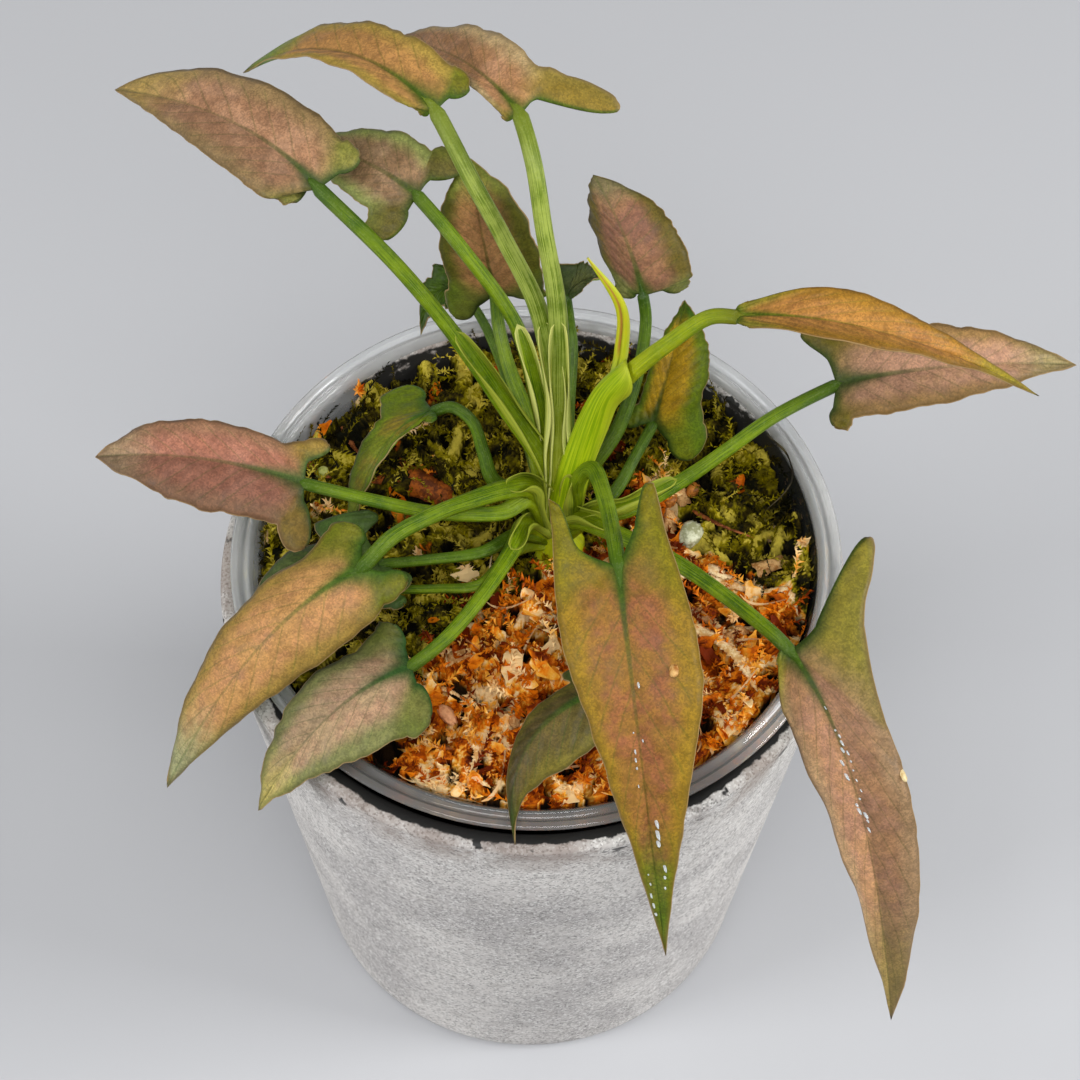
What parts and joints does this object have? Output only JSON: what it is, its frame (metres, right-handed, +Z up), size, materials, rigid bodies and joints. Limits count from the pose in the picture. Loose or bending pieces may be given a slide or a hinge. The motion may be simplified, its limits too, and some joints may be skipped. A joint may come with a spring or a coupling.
{
  "type": "potted arrowhead plant",
  "caption": "Young arrowhead plant with pink and bronze leaves on long stalks, rooted in moss in a clear nursery pot that stands in a stone-grey cover pot.",
  "frame": {"origin": "centre of the cover pot's flat foot, on the surface that it stands on", "axes": "+Z up the cover pot's axis, -Y towards the viewer, +X to the viewer's right"},
  "size_m": [0.1429, 0.1265, 0.1619],
  "materials": {
    "cover_pot": "matt speckled stone grey",
    "nursery_pot": "clear, a little cloudy",
    "moss": "dry brown sphagnum with living green moss",
    "stalks": "satin green, with pale sheaths",
    "new_leaf": "satin yellow-green",
    "leaf_pink": "velvety dusky pink with an olive margin",
    "leaf_bronze": "velvety golden bronze with an olive margin",
    "leaf_green": "velvety grey-green"
  },
  "bodies": {
    "root": {"cover_pot": "cover_pot", "nursery_pot": "nursery_pot", "moss_bed": "moss", "stem_and_stalks": "stalks", "new_leaf": "new_leaf", "leaf_01_back_left": "leaf_pink", "leaf_02_back_high": "leaf_bronze", "leaf_03_back_high_right": "leaf_bronze", "leaf_04_back_middle": "leaf_pink", "leaf_05_back_upright": "leaf_pink", "leaf_06_back_small": "leaf_green", "leaf_07_back_right": "leaf_pink", "leaf_08_right_high": "leaf_bronze", "leaf_09_right_low": "leaf_pink", "leaf_10_inner_right": "leaf_green", "leaf_11_left": "leaf_pink", "leaf_12_front_left": "leaf_bronze", "leaf_13_low_left": "leaf_pink", "leaf_14_inner_left": "leaf_green", "leaf_15_under_left": "leaf_green", "leaf_16_hidden_left": "leaf_green", "leaf_17_front": "leaf_bronze", "leaf_18_front_right": "leaf_pink", "leaf_19_front_small": "leaf_pink", "leaf_20_back_low": "leaf_green"}
  },
  "joints": []
}
